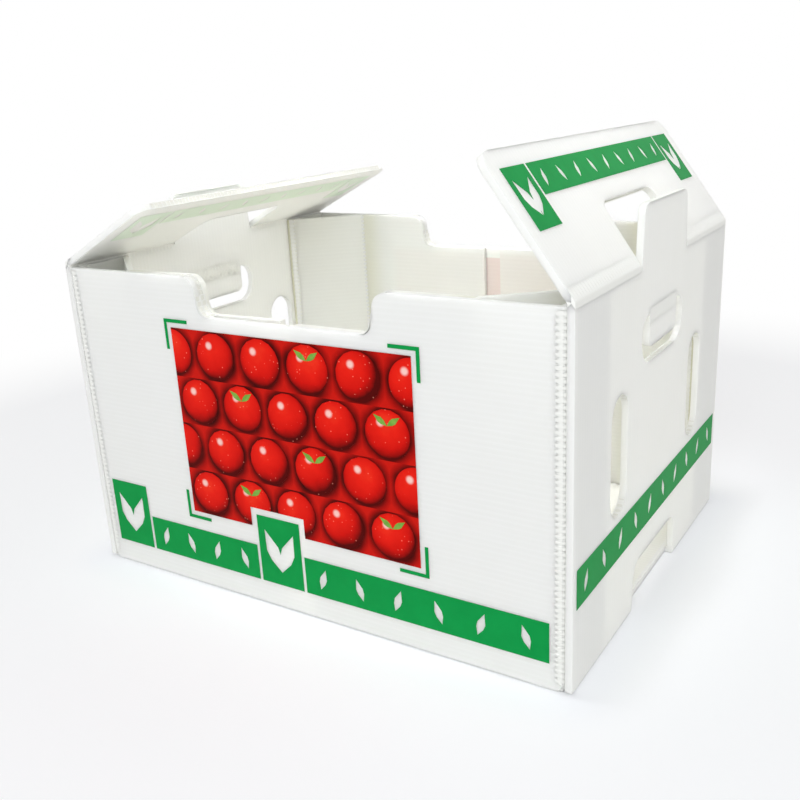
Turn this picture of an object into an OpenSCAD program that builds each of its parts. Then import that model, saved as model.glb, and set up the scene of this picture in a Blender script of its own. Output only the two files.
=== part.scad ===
// Produce box folded from one die-cut sheet of white fluted polypropylene board.
// X runs along the long panels, the front panel faces -Y and Z points up.
// The origin is the middle of the footprint, on the surface that the box stands on.
// In the flat sheet every flute runs along X.

/* [Box] */
// Outside length, over both end panels
box_l = 400; // [370:1:460]
// Outside depth, over the front and back panels
box_w = 310; // [290:1:380]
// Height of the long panels' rim above the floor
rim_z = 238; // [215:1:300]
// Thickness of the fluted board
board_t = 4.5; // [3:0.5:5]
// Glue gap between two plies that lie on each other
glue_gap = 0.3; // [0.2:0.1:0.6]

/* [Corner posts] */
// Reach of a post along the end panel, from the outer face of the long panel
post_end_reach = 52; // [42:1:56]
// Reach of a post along the long panel, from the outer face of the end panel
post_side_reach = 62; // [48:1:80]
// Bare stretch in the middle of each long panel, between the two inner plies
centre_gap = 16; // [8:1:40]
// How far the free end of the front left inner ply has sprung off its panel
sprung_ply = 7; // [1:0.5:10]

/* [Rim recess] */
// Width of the recess in a long panel's rim
recess_w = 146; // [100:1:160]
// Depth of the recess below the rim
recess_depth = 27; // [20:1:45]
// How much narrower each side is at the foot of the recess
recess_taper = 3; // [1:0.5:8]
// Radius where the rim turns down into the recess
recess_lip_r = 10; // [4:1:14]
// Radius at the foot of the recess
recess_foot_r = 8; // [4:1:10]

/* [Hand holes] */
// Width of a hand hole
hole_w = 86; // [80:1:94]
// Height of a hand hole
hole_h = 32; // [30:0.5:36]
// Distance from the lid crease down to the crease of the hand flap
hole_drop = 34; // [25:1:45]
// Radius of the two upper corners
hole_top_r = 12; // [6:0.5:13]
// Radius of the two lower corners
hole_foot_r = 16; // [9:0.5:17]
// Width of the hand flap that stays hinged in the hole
hand_flap_w = 58; // [48:1:59]
// Height of the hand flap
hand_flap_h = 22; // [16:0.5:24]
// Radius of the two lower corners of the hand flap
hand_flap_r = 5; // [2:0.5:9]

/* [Vents] */
// Width of a vent slot
vent_w = 30; // [20:1:31]
// Height of a vent slot
vent_h = 81; // [60:1:90]
// Height of the foot of the vent slots above the floor
vent_z = 87; // [84:1:95]
// Distance between the middles of the two vent slots of an end
vent_pitch = 161; // [150:1:164]

/* [Stacking tabs and notches] */
// Width of a stacking tab at the lid crease
tab_w = 95; // [80:1:100]
// Width of a stacking tab at its top
tab_top_w = 89; // [74:1:92]
// Height of a stacking tab above the lid crease
tab_h = 37; // [30:1:41]
// Radius of the upper corners of a tab
tab_r = 7; // [3:0.5:12]
// Free play of a tab in the notch of the box that stands on it
stack_play = 1; // [0.5:0.5:3]
// How far the base is set back from the outer face of the end panel in a notch
notch_set_back = 6.5; // [6:0.5:12]
// Radius of the upper corners of a notch
notch_r = 12; // [3:0.5:14]
// Size of the relief cut at each bottom corner
corner_relief = 2; // [1:0.5:3]

/* [Lid flaps] */
// Length of a lid flap from its crease to its free edge
lid_len = 93; // [85:1:110]
// Radius of the free corners of a lid flap
lid_r = 10; // [4:1:18]
// Lean of the left lid flap at rest, inwards from upright
left_lid_lean = 63; // [10:1:80]
// Lean of the right lid flap at rest, inwards from upright
right_lid_lean = 36; // [10:1:80]
// Height of the opening that the tab leaves in a lid flap, from the crease
cutout_h = 45.5; // [43:0.5:55]
// Room between the tab and the side of that opening
cutout_play = 2; // [1:0.5:4]
// Radius of the upper corners of that opening
cutout_r = 8; // [3:0.5:14]
// Gap between a closed lid flap and the rim that it lies on
lid_rest_gap = 0.3; // [0.2:0.1:0.6]

/* [Creases] */
// Clear width along a crease line between two panels
crease_gap = 0.5; // [0.4:0.1:0.8]
// Half angle of the pinched board on the inner side of a crease
crease_in = 42; // [35:1:43]
// Half angle of the pinched board on the outer side of a crease
crease_out = 36; // [30:1:43]
// Distance between two flutes of the board
flute_pitch = 3.7; // [3.4:0.1:5]
// Length of the pinch that a corner fold leaves between two flutes
pinch_len = 7; // [5:0.5:9]
// Depth of that pinch at the fold
pinch_depth = 1.2; // [0.6:0.1:1.4]

/* [Print] */
// Thickness of a coat of ink
ink_t = 0.15; // [0.1:0.05:0.3]
// Length of the printed band along a long panel
band_l = 371; // [340:1:375]
// Height of the foot of the band above the floor
band_z = 19; // [10:1:25]
// Height of the low fields of the band
band_h = 27.5; // [20:0.5:32]
// Height of the two tall fields of the band
tall_h = 52; // [45:1:60]
// Width of a tall field
tall_w = 37.5; // [30:0.5:45]
// Bare line between two fields
field_gap = 2.5; // [1.5:0.5:5]
// Distance from the left end of the band to its second tall field
second_tall = 148.5; // [140:0.5:160]
// Width of the picture
picture_w = 196; // [150:1:210]
// Height of the picture
picture_h = 140; // [110:1:142]
// Height of the foot of the picture above the floor
picture_z = 61.5; // [58:0.5:66]
// Length of one arm of the green corner marks round the picture
mark_arm = 22; // [12:1:30]
// Line width of the corner marks
mark_t = 2.5; // [1.5:0.5:4]
// Clear distance between the picture and the corner marks
mark_gap = 3.5; // [2:0.5:8]
// Number of fruit in a full row of the picture
fruit_per_row = 5; // [3:1:7]
// Number of rows of fruit in the picture
fruit_rows = 4; // [3:1:5]
// Share of its place that a fruit fills
fruit_fill = 0.94; // [0.7:0.01:0.97]
// Length of the printed band across an end panel
end_band_l = 298; // [260:1:300]
// Height of the foot of that band above the floor
end_band_z = 56; // [46:1:57]
// Height of that band
end_band_h = 26; // [16:1:26]
// Length of the printed band on a lid flap
lid_band_l = 287; // [250:1:290]
// Distance from the free edge of a lid flap to the band
lid_band_edge = 12; // [8:1:14]
// Height of the band on a lid flap between its tall ends
lid_band_h = 21; // [15:1:22]
// Height of the tall ends of the band on a lid flap
lid_tall_h = 40; // [30:1:42]
// Width of the tall ends
lid_tall_w = 30; // [20:1:34]

/* [Hidden] */
fold_steps = 24;
fold_sides = 8;
fruit_sides = 16;
corner_steps = 6;
over = 1;

board_white = [0.94, 0.95, 0.94];
print_green = [0.07, 0.6, 0.29];
picture_red = [0.55, 0.03, 0.03];
fruit_red = [0.86, 0.1, 0.08];
leaf_green = [0.35, 0.55, 0.2];

// Middle planes of the board in the folded panels
pivot_x = box_l / 2 - board_t / 2;
end_in = box_l / 2 - board_t;
wing_x = end_in - glue_gap - board_t / 2;
panel_y = box_w / 2 - board_t / 2;
inner_y = panel_y - board_t - glue_gap;

// A lid turns about the middle of the board, so that it closes flat on the rim
lid_z = rim_z + lid_rest_gap + board_t / 2;
hand_z = lid_z - hole_drop;
crease_tip = crease_gap / 2;
in_run = board_t / 2 / tan(crease_in);
out_run = board_t / 2 / tan(crease_out);
pinch_run = max(in_run, out_run) + crease_tip;

// The tab stands above the closed lid by what the notch of the next box takes in
tab_z = lid_z + tab_h;
closed_lid_top = lid_z + board_t / 2;
notch_h = tab_z - closed_lid_top + stack_play;
notch_w = tab_w + 2 * stack_play;
notch_top_w = tab_top_w + 2 * stack_play;

// One corner of an outline, turned into an arc of radius r that touches both sides
function unit(v) = v / norm(v);
function corner(p, q, s, r) =
    let (u = unit(p - q), v = unit(s - q), half = acos(u * v) / 2,
         c = q + unit(u + v) * r / sin(half),
         a = q + u * r / tan(half) - c,
         b = q + v * r / tan(half) - c,
         from = atan2(a[1], a[0]),
         turn = (atan2(b[1], b[0]) - from + 540) % 360 - 180)
    [for (i = [0:corner_steps])
        let (t = from + turn * i / corner_steps)
        c + r * [cos(t), sin(t)]];

// Outline through [x, y, radius] points, where a radius of 0 leaves the corner sharp
function rounded(pts) =
    let (n = len(pts), xy = [for (p = pts) [p[0], p[1]]])
    [for (i = [0:n - 1])
        for (q = pts[i][2] > 0
                ? corner(xy[(i + n - 1) % n], xy[i], xy[(i + 1) % n], pts[i][2])
                : [xy[i]])
            q];

// Symmetric outline with four corners, from its width, level and radius at foot and top
module four_sides(foot_w, foot_y, foot_r, top_w, top_y, top_r) {
    polygon(rounded([[-foot_w / 2, foot_y, foot_r], [foot_w / 2, foot_y, foot_r],
                     [top_w / 2, top_y, top_r], [-top_w / 2, top_y, top_r]]));
}

// Slab in a plane across X, with its outline drawn in Y and Z
module across_x(from, thick) {
    translate([from, 0, 0])
        rotate([90, 0, 90])
            linear_extrude(height = thick)
                children();
}

// Slab in a plane across Y, with its outline drawn in X and Z
module across_y(from, thick) {
    translate([0, from + thick, 0])
        rotate([90, 0, 0])
            linear_extrude(height = thick)
                children();
}

// The left end is the right end, mirrored
module at_end(side) {
    if (side == "left")
        mirror([1, 0, 0])
            children();
    else
        children();
}

module both_ends() {
    for (side = ["left", "right"])
        at_end(side)
            children();
}

// Regular outline with flat sides round a circle of radius r
function flat_sided(sides, r) =
    [for (i = [0:sides - 1])
        let (t = (i + 0.5) * 360 / sides)
        r / cos(180 / sides) * [cos(t), sin(t)]];

// Straight stretch of board seen edge on
module ply(a, b) {
    run = b - a;
    translate(a)
        rotate(atan2(run[1], run[0]))
            translate([0, -board_t / 2])
                square([norm(run), board_t]);
}

// Wing of a long panel, seen from above with that panel at +Y: it runs along the end
// panel, crosses back as the wall of the corner post and ends flat on its own panel
module wing(spring) {
    outer = [wing_x, panel_y];
    end_fold = [wing_x, box_w / 2 - post_end_reach];
    side_fold = [box_l / 2 - post_side_reach, inner_y];
    free_end = [centre_gap / 2, inner_y - spring];
    foot = board_t + glue_gap;
    translate([0, 0, foot])
        linear_extrude(height = rim_z - foot) {
            ply(outer, end_fold);
            ply(end_fold, side_fold);
            ply(side_fold, free_end);
            translate(outer)
                polygon(flat_sided(fold_sides, board_t / 2));
            for (fold = [end_fold, side_fold])
                translate(fold)
                    circle(d = board_t, $fn = fold_steps);
        }
}

// Pinches between the flutes of the long panel at +Y, where it turns round the corner at +X.
// Each one starts at nothing on the face of the panel and is deepest on the fold.
module fold_pinches() {
    foot = board_t + glue_gap;
    count = floor((rim_z - foot) / flute_pitch);
    step = (rim_z - foot) / count;
    spread = 0.5;
    fold_x = wing_x + board_t / 2;
    for (i = [0:count - 1])
        translate([fold_x - pinch_len, box_w / 2, foot + (i + 0.5) * step])
            rotate([0, 0, -asin(pinch_depth / pinch_len)])
                rotate([90, 0, 90])
                    linear_extrude(height = pinch_len + board_t)
                        polygon([[0, 0], [board_t, spread * board_t],
                                 [board_t, -spread * board_t]]);
}

// Rim recess at +Y, cut through the panel and both inner plies
module recess_cut() {
    half = recess_w / 2;
    foot = half - recess_taper;
    wide = half + 2 * recess_lip_r;
    floor_z = rim_z - recess_depth;
    reach = 2 * board_t + glue_gap + sprung_ply + over;
    across_y(box_w / 2 - reach, reach + over)
        polygon(rounded([[-wide, rim_z + over, 0], [-wide, rim_z, 0],
                         [-half, rim_z, recess_lip_r], [-foot, floor_z, recess_foot_r],
                         [foot, floor_z, recess_foot_r], [half, rim_z, recess_lip_r],
                         [wide, rim_z, 0], [wide, rim_z + over, 0]]));
}

// Long panel at +Y, folded up from the base along the flutes, with its two wings
module long_side(left_spring) {
    fold_l = 2 * (wing_x - corner_relief);
    difference() {
        union() {
            translate([-wing_x, panel_y - board_t / 2, board_t / 2])
                cube([2 * wing_x, board_t, rim_z - board_t / 2]);
            translate([-fold_l / 2, panel_y, board_t / 2])
                rotate([0, 90, 0])
                    cylinder(d = board_t, h = fold_l, $fn = fold_steps);
            wing(0);
            mirror([1, 0, 0])
                wing(left_spring);
        }
        recess_cut();
        both_ends()
            fold_pinches();
    }
}

// Base panel with the round folds that lead up into the end panels
module base_panel() {
    translate([-pivot_x, -panel_y, 0])
        cube([2 * pivot_x, 2 * panel_y, board_t]);
    both_ends()
        translate([pivot_x, 0, board_t / 2])
            rotate([90, 0, 0])
                cylinder(d = board_t, h = 2 * panel_y, center = true, $fn = fold_steps);
}

// Board that thins out to a crease line above it, drawn at the right end about the crease
module pinched_edge(width) {
    across_half = board_t / 2;
    rotate([90, 0, 0])
        translate([0, 0, -width / 2])
            linear_extrude(height = width)
                polygon([[0, -crease_tip], [-across_half, -crease_tip - in_run],
                         [-across_half, -pinch_run - over], [across_half, -pinch_run - over],
                         [across_half, -crease_tip - out_run]]);
}

module tab_outline() {
    four_sides(tab_w, lid_z - pinch_run - over, 0, tab_top_w, tab_z, tab_r);
}

// Hand hole, cut back over the flap to where the board of the end panel is pinched
module hand_hole_outline() {
    four_sides(hole_w, hand_z - hole_h, hole_foot_r, hole_w, hand_z, hole_top_r);
    translate([-hand_flap_w / 2, hand_z - over])
        square([hand_flap_w, pinch_run + over]);
}

module vent_outline() {
    for (z = [vent_z + vent_w / 2, vent_z + vent_h - vent_w / 2])
        translate([0, z])
            circle(d = vent_w, $fn = 2 * fold_steps);
    translate([-vent_w / 2, vent_z + vent_w / 2])
        square([vent_w, vent_h - vent_w]);
}

// Right end panel with its stacking tab, hand hole, vent slots and notch
module end_side() {
    plate_z = lid_z - pinch_run;
    edge_w = (box_w - tab_w) / 2;
    difference() {
        union() {
            across_x(end_in, board_t) {
                translate([-box_w / 2, board_t / 2])
                    square([box_w, plate_z - board_t / 2]);
                tab_outline();
            }
            for (side = [-1, 1])
                translate([pivot_x, side * (tab_w + edge_w) / 2, lid_z])
                    pinched_edge(edge_w);
        }
        across_x(end_in - over, board_t + 2 * over) {
            hand_hole_outline();
            for (side = [-1, 1])
                translate([side * vent_pitch / 2, 0])
                    vent_outline();
        }
    }
    translate([pivot_x, 0, hand_z])
        mirror([0, 0, 1])
            pinched_edge(hand_flap_w);
}

// Notch at the right end, through the end panel, its bottom fold and the edge of the base
module notch_cut() {
    across_x(end_in - over, board_t + 2 * over)
        four_sides(notch_w, -over, 0, notch_top_w, notch_h, notch_r);
    translate([box_l / 2 - notch_set_back, -notch_w / 2, -over])
        cube([notch_set_back + over, notch_w, board_t + 2 * over]);
}

// Relief at the right end, where the folds of the base would meet in a corner
module relief_cuts() {
    for (side = [-1, 1])
        translate([pivot_x, side * panel_y, 0])
            cube([2 * corner_relief + board_t, 2 * corner_relief + board_t, 2 * corner_relief],
                 center = true);
}

module box_body() {
    color(board_white)
        difference() {
            union() {
                base_panel();
                both_ends()
                    end_side();
                long_side(0);
                mirror([0, 1, 0])
                    long_side(sprung_ply);
            }
            both_ends() {
                notch_cut();
                relief_cuts();
            }
        }
}

// Moves a part drawn upright at the right end to the lean of its lid at rest
module lid_place(side) {
    lean = side == "left" ? left_lid_lean : right_lid_lean;
    at_end(side)
        translate([pivot_x, 0, lid_z])
            rotate([0, -lean, 0])
                children();
}

module lid_flap(side) {
    color(board_white)
        lid_place(side)
            difference() {
                union() {
                    across_x(-board_t / 2, board_t)
                        four_sides(box_w, pinch_run, 0, box_w, lid_len, lid_r);
                    mirror([0, 0, 1])
                        pinched_edge(box_w);
                }
                across_x(-board_t, 2 * board_t)
                    four_sides(tab_w + 2 * cutout_play, -over, 0,
                               tab_top_w + 2 * cutout_play, cutout_h, cutout_r);
            }
}

// Hand flap, left hinged along its top when the hand hole was cut
module hand_flap(side) {
    color(board_white)
        at_end(side)
            translate([pivot_x, 0, hand_z]) {
                across_x(-board_t / 2, board_t)
                    four_sides(hand_flap_w, -hand_flap_h, hand_flap_r,
                               hand_flap_w, -pinch_run, 0);
                pinched_edge(hand_flap_w);
            }
}

// Leaf that stays bare in a printed field, as long as height and leaning by tilt
module bare_leaf(height, tilt) {
    half = height / 2;
    rotate(tilt)
        polygon([[0, -half], [0.3 * half, -0.35 * half], [0.34 * half, 0.1 * half], [0, half],
                 [-0.34 * half, 0.1 * half], [-0.3 * half, -0.35 * half]]);
}

// Printed field from its lower left corner, with a row of bare leaves
module leaf_field(width, height, count) {
    leaf_h = 0.62 * height;
    step = width / count;
    difference() {
        square([width, height]);
        for (i = [0:count - 1])
            translate([(i + 0.5) * step, height / 2])
                bare_leaf(leaf_h, i % 2 == 0 ? -18 : 18);
    }
}

// Tall printed field with a pair of bare leaves on one foot
module sprout_field(width, height) {
    difference() {
        square([width, height]);
        for (side = [-1, 1])
            translate([width / 2 + side * 0.17 * width, height / 2])
                bare_leaf(0.66 * height, -side * 22);
    }
}

// Band along the foot of a long panel: two tall and two low fields
module band_outline() {
    low_l = second_tall - tall_w - 2 * field_gap;
    rest_x = second_tall + tall_w + field_gap;
    translate([-band_l / 2, band_z]) {
        sprout_field(tall_w, tall_h);
        translate([tall_w + field_gap, 0])
            leaf_field(low_l, band_h, 4);
        translate([second_tall, 0])
            sprout_field(tall_w, tall_h);
        translate([rest_x, 0])
            leaf_field(band_l - rest_x, band_h, 6);
    }
}

// Green marks at the four corners of the picture
module mark_outlines() {
    mark_x = picture_w / 2 + mark_gap;
    mark_z = picture_h / 2 + mark_gap;
    translate([0, picture_z + picture_h / 2])
        for (flip_x = [0, 1], flip_z = [0, 1])
            mirror([flip_x, 0])
                mirror([0, flip_z])
                    translate([mark_x, mark_z]) {
                        translate([mark_t - mark_arm, 0])
                            square([mark_arm, mark_t]);
                        translate([0, mark_t - mark_arm])
                            square([mark_t, mark_arm]);
                    }
}

// Bare frame that the second tall field cuts out of the foot of the picture
module frame_bite() {
    margin = 2 * field_gap;
    translate([second_tall - band_l / 2 - margin, 0])
        square([tall_w + 2 * margin, band_z + tall_h + margin]);
}

// Places of the fruit in the picture: rows that are shifted by half a step in turn
fruit_step = picture_w / fruit_per_row;
row_step = picture_h / fruit_rows;
fruit_places = [for (row = [0:fruit_rows - 1], i = [0:fruit_per_row - 1 - row % 2])
    [(i + 0.5 + row % 2 / 2) * fruit_step - picture_w / 2, picture_z + (row + 0.5) * row_step]];

module fruit_outlines() {
    for (p = fruit_places)
        translate(p)
            polygon(flat_sided(fruit_sides, fruit_fill * min(row_step, fruit_step) / 2));
}

module leaf_outlines() {
    for (i = [1:3:len(fruit_places) - 1])
        translate(fruit_places[i] + [0, row_step / 6])
            for (tilt = [-55, 55])
                rotate(tilt)
                    translate([0, row_step / 6])
                        bare_leaf(row_step / 3, 0);
}

// Coat of ink on the outside of the front or back panel, lying on what is printed below
module long_print(side, coat) {
    mirror([0, side == "front" ? 1 : 0, 0])
        mirror([side == "front" ? 0 : 1, 0, 0])
            across_y(box_w / 2 + coat * ink_t, ink_t)
                children();
}

module band_print(side) {
    color(print_green)
        long_print(side, 0) {
            band_outline();
            difference() {
                mark_outlines();
                frame_bite();
            }
        }
}

module picture_ground(side) {
    color(picture_red)
        long_print(side, 0)
            difference() {
                translate([-picture_w / 2, picture_z])
                    square([picture_w, picture_h]);
                frame_bite();
            }
}

module picture_fruit(side) {
    color(fruit_red)
        long_print(side, 1)
            difference() {
                fruit_outlines();
                frame_bite();
            }
}

module picture_leaves(side) {
    color(leaf_green)
        long_print(side, 2)
            leaf_outlines();
}

module end_print(side) {
    color(print_green)
        at_end(side)
            across_x(box_l / 2, ink_t)
                translate([-end_band_l / 2, end_band_z])
                    leaf_field(end_band_l, end_band_h, 10);
}

module lid_print(side) {
    foot = lid_len - lid_band_edge - lid_band_h;
    tall_foot = lid_len - lid_band_edge - lid_tall_h;
    low_l = lid_band_l - 2 * (lid_tall_w + field_gap);
    color(print_green)
        lid_place(side)
            across_x(board_t / 2, ink_t) {
                translate([-low_l / 2, foot])
                    leaf_field(low_l, lid_band_h, 9);
                for (x = [-lid_band_l / 2, lid_band_l / 2 - lid_tall_w])
                    translate([x, tall_foot])
                        sprout_field(lid_tall_w, lid_tall_h);
            }
}

box_body();
lid_flap("left");  // left_lid_flap
lid_flap("right");  // right_lid_flap
hand_flap("left");  // left_hand_flap
hand_flap("right");  // right_hand_flap
band_print("front");  // front_band_print
band_print("back");  // back_band_print
picture_ground("front");  // front_picture_ground
picture_ground("back");  // back_picture_ground
picture_fruit("front");  // front_picture_fruit
picture_fruit("back");  // back_picture_fruit
picture_leaves("front");  // front_picture_leaves
picture_leaves("back");  // back_picture_leaves
end_print("left");  // left_end_print
end_print("right");  // right_end_print
lid_print("left");  // left_lid_print
lid_print("right");  // right_lid_print
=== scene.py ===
import math

import bmesh
import bpy
from mathutils import Matrix, Vector


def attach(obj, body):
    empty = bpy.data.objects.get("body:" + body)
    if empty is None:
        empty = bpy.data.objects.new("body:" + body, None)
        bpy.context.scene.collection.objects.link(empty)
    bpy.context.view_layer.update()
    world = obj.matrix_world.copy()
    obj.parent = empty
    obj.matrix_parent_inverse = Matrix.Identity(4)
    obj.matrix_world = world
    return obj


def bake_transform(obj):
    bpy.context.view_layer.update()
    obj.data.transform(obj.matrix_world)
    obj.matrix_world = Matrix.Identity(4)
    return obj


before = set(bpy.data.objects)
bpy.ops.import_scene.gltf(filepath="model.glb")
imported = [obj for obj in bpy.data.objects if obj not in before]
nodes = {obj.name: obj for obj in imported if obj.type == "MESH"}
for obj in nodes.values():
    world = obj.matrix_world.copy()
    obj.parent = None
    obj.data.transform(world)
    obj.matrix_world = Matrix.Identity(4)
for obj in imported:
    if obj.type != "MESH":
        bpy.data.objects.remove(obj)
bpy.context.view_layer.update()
mm = 0.001

# The folded board, in millimetres, as the CAD has it
board = {
    "thick": 4.5,
    "fluteSpacing": 3.7,      # from web to web
    "halfLength": 200.0, "halfWidth": 155.0, "rim": 238.0,
    "wingX": 192.95, "panelY": 152.75, "innerY": 147.95,
    "pivotX": 197.75, "lidCrease": 240.55, "handCrease": 206.55, "wallFoot": 4.8,
    "postEnd": 52.0, "postSide": 62.0,
}
lid = {
    "length": 93.0, "leftLean": 63.0, "rightLean": 36.0,
    "cutoutTop": 45.5, "cutoutHalf": 38.5, "freeHalf": 143.0,
    "creaseFrom": 49.5,  # the cut-out round the tab ends the crease here
}


# sRGB hex to a linear colour
def linear(code):
    parts = [int(code[i:i + 2], 16) / 255 for i in (1, 3, 5)]
    return [c / 12.92 if c <= 0.04045 else ((c + 0.055) / 1.055) ** 2.4 for c in parts] + [1.0]


# One node with its settings, and its inputs as values or links
def addNode(tree, kind, inputs=None, **settings):
    node = tree.nodes.new(kind)
    for name, value in settings.items():
        setattr(node, name, value)
    for key, value in (inputs or {}).items():
        if isinstance(value, bpy.types.NodeSocket):
            tree.links.new(value, node.inputs[key])
        else:
            node.inputs[key].default_value = value
    return node


def newMaterial(name):
    material = bpy.data.materials.new(name)
    material.use_nodes = True
    tree = material.node_tree
    tree.nodes.clear()
    return material, tree


def finishMaterial(tree, shader):
    addNode(tree, "ShaderNodeOutputMaterial", {"Surface": shader.outputs[0]})


def calc(tree, operation, a, b=0.0, c=0.0):
    return addNode(tree, "ShaderNodeMath", {0: a, 1: b, 2: c}, operation=operation).outputs[0]


def mixColour(tree, factor, a, b, blend="MIX"):
    return addNode(tree, "ShaderNodeMix", {0: factor, 6: a, 7: b},
                   data_type="RGBA", blend_type=blend).outputs[2]


# Object coordinates in millimetres, as x, y and z
def places(tree):
    coord = addNode(tree, "ShaderNodeTexCoord").outputs["Object"]
    scaled = addNode(tree, "ShaderNodeVectorMath", {0: coord, 3: 1000.0}, operation="SCALE").outputs[0]
    split = addNode(tree, "ShaderNodeSeparateXYZ", {0: scaled})
    return scaled, split.outputs[0], split.outputs[1], split.outputs[2]


# 1 between two limits, 0 outside
def between(tree, value, low, high):
    return calc(tree, "MULTIPLY", calc(tree, "GREATER_THAN", value, low),
                calc(tree, "LESS_THAN", value, high))


# 1 within a distance of the middle, falling to 0 over the blur, all in millimetres
def softWithin(tree, away, reach, blur):
    return addNode(tree, "ShaderNodeMapRange", {
        0: away, 1: calc(tree, "ADD", blur, reach), 2: reach, 3: 0.0, 4: 1.0},
        interpolation_type="SMOOTHSTEP").outputs[0]


print("board materials")

boardLook = {
    "colour": "#fbfbf7",      # natural polypropylene with white masterbatch
    "cellColour": "#f4f4ef",  # over the hollow cells the skin looks a shade greyer
    # painted light: the pink of the print as light carries it through the board
    "paintedThroughPrint": "#e2606a",
    "paintedFoldShade": "#dcdac2",   # painted shade, yellowish, where the board turns round a post fold and beside it
    # the last colour on the next line is painted shade for the floor of each cut flute
    "worked": "#f1f1ee", "cut": "#f6f6f3", "cellPaintedShade": "#ebeae3",
    "roughness": 0.42,
    "skinSag": 0.022,         # mm that the skin sinks between two webs
    "streaks": 0.02,
    "edge": 0.5,              # mm that a cut edge is rounded
    "glow": 0.85,             # share of the light that goes into the milky plastic
    "glowDepth": (8.0, 8.0, 7.8),
}

# Where the body changes its looks, painted shade and painted light included, in millimetres from the middle
# and up from the floor
zones = {
    "endFace": 195.35, "baseTop": 4.6,    # the flutes turn at the end panels and the base
    "insideX": 190.9, "insideY": 151.0,   # inner faces of the panels
    "singlePly": 150.2,                   # beyond it a long panel has no inner ply
    # the printed picture, whose colour is painted onto the inner faces as painted light
    "printHalfX": 98.0, "printMiddleZ": 131.5, "printHalfZ": 70.0, "rightPly": 8.0,
    "sideFade": (114.0, 136.0), "sideEnd": 138.5, "sideY": (145.0, 150.3),  # painted shade beside a post on a long panel
    "endX": (189.0, 195.3), "endY": (100.0, 104.4),                         # painted shade beside a post on an end panel
}


# Milky plastic: light goes into it and comes out again some millimetres away
def milkyPlastic(tree, colour, roughness, normal):
    return addNode(tree, "ShaderNodeBsdfPrincipled", {
        "Base Color": colour, "Roughness": roughness, "IOR": 1.49, "Specular IOR Level": 0.35,
        "Normal": normal, "Subsurface Weight": boardLook["glow"], "Subsurface Scale": mm,
        "Subsurface Radius": boardLook["glowDepth"]})


def roundedEdge(tree):
    return addNode(tree, "ShaderNodeBevel", {"Radius": boardLook["edge"] * mm}, samples=4).outputs[0]


# Painted light: the print's pink, as light carries it through the board, is painted on the inner faces,
# most where a long panel is a single ply
def paintedPrintShowThrough(tree, tone, x, y, z):
    wideX, wideY = calc(tree, "ABSOLUTE", x), calc(tree, "ABSOLUTE", y)
    inside = calc(tree, "MULTIPLY", calc(tree, "LESS_THAN", wideY, zones["insideY"]),
                  calc(tree, "LESS_THAN", wideX, zones["insideX"]))
    # painted light: the inner faces are a touch warmer, for the warm light inside the box
    tone = mixColour(tree, inside, tone, mixColour(tree, 1.0, tone, linear("#fffffb"), "MULTIPLY"))
    single = calc(tree, "GREATER_THAN", wideY, zones["singlePly"])
    blur = calc(tree, "MULTIPLY_ADD", single, -11.0, 12.0)
    offMiddle = calc(tree, "ABSOLUTE", calc(tree, "SUBTRACT", z, zones["printMiddleZ"]))
    sheet = calc(tree, "MULTIPLY", softWithin(tree, wideX, zones["printHalfX"], blur),
                 softWithin(tree, offMiddle, zones["printHalfZ"], blur))
    sheet = calc(tree, "MULTIPLY", sheet, inside)
    onRight = calc(tree, "GREATER_THAN", x, zones["rightPly"])
    twoPlies = calc(tree, "MULTIPLY_ADD", onRight, 0.05, 0.045)
    tint = calc(tree, "MULTIPLY", sheet, calc(tree, "MULTIPLY_ADD", single, 0.19, twoPlies))
    return mixColour(tree, tint, tone, linear(boardLook["paintedThroughPrint"]))


# Painted shade: the board is tinted yellowish on both sides of a corner post, beside its folds
def paintedPostShade(tree, tone, x, y):
    wideX, wideY = calc(tree, "ABSOLUTE", x), calc(tree, "ABSOLUTE", y)
    first, last = zones["sideFade"]
    sideBand = addNode(tree, "ShaderNodeMapRange", {0: wideX, 1: first, 2: last, 3: 0.0, 4: 1.0},
                       interpolation_type="SMOOTHSTEP").outputs[0]
    onPly = calc(tree, "MULTIPLY", between(tree, wideY, *zones["sideY"]),
                 calc(tree, "LESS_THAN", wideX, zones["sideEnd"]))
    sideBand = calc(tree, "MULTIPLY", sideBand, onPly)
    endBand = calc(tree, "MULTIPLY", between(tree, wideY, *zones["endY"]),
                   between(tree, wideX, *zones["endX"]))
    share = calc(tree, "MULTIPLY", calc(tree, "MAXIMUM", sideBand, endBand), 0.5)
    return mixColour(tree, share, tone, linear(boardLook["paintedFoldShade"]))


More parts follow.
